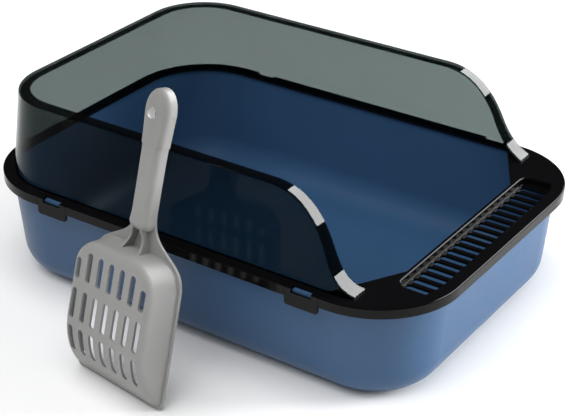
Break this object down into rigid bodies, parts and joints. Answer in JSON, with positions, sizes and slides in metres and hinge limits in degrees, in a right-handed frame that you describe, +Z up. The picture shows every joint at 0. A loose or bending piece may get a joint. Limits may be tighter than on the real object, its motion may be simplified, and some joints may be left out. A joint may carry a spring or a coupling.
{
  "type": "cat litter box with hood",
  "caption": "Rounded rectangular litter tray with a clip-on see-through surround, open at the top and low at the entry end with a slotted tread, and a sifting scoop.",
  "frame": {"origin": "centre of the tray's underside", "axes": "+X towards the low entry end, +Z up"},
  "size_m": [0.48, 0.4416, 0.2597],
  "materials": {
    "tray_plastic": "satin",
    "rim_plastic": "gloss",
    "smoke_plastic": "gloss",
    "scoop_plastic": "matte"
  },
  "bodies": {
    "tray": {"tray": "tray_plastic"},
    "hood": {"rim_frame": "rim_plastic", "hood_wall": "smoke_plastic"},
    "scoop": {"scoop_basket": "scoop_plastic", "scoop_handle": "scoop_plastic"},
    "snap_tab_front_left": {"snap_tab_front_left": "rim_plastic"},
    "snap_tab_front_right": {"snap_tab_front_right": "rim_plastic"},
    "snap_tab_rear_left": {"snap_tab_rear_left": "rim_plastic"},
    "snap_tab_rear_right": {"snap_tab_rear_right": "rim_plastic"}
  },
  "joints": [
    {"name": "hood_lift", "type": "slide", "parent": "tray", "child": "hood", "axis": [0, 0, 1], "range_m": [0, 0.12]},
    {"name": "scoop_lift", "type": "slide", "parent": "tray", "child": "scoop", "axis": [0, 0, 1], "range_m": [0, 0.25]},
    {"name": "snap_tab_front_left_flex", "type": "hinge", "parent": "hood", "child": "snap_tab_front_left", "pos_m": [0.136, 0.171, 0.105], "axis": [1, 0, 0], "range_deg": [0, 12], "stiffness_Nm_per_rad": 0.05},
    {"name": "snap_tab_front_right_flex", "type": "hinge", "parent": "hood", "child": "snap_tab_front_right", "pos_m": [0.136, -0.171, 0.105], "axis": [-1, 0, 0], "range_deg": [0, 12], "stiffness_Nm_per_rad": 0.05},
    {"name": "snap_tab_rear_left_flex", "type": "hinge", "parent": "hood", "child": "snap_tab_rear_left", "pos_m": [-0.136, 0.171, 0.105], "axis": [1, 0, 0], "range_deg": [0, 12], "stiffness_Nm_per_rad": 0.05},
    {"name": "snap_tab_rear_right_flex", "type": "hinge", "parent": "hood", "child": "snap_tab_rear_right", "pos_m": [-0.136, -0.171, 0.105], "axis": [-1, 0, 0], "range_deg": [0, 12], "stiffness_Nm_per_rad": 0.05}
  ]
}
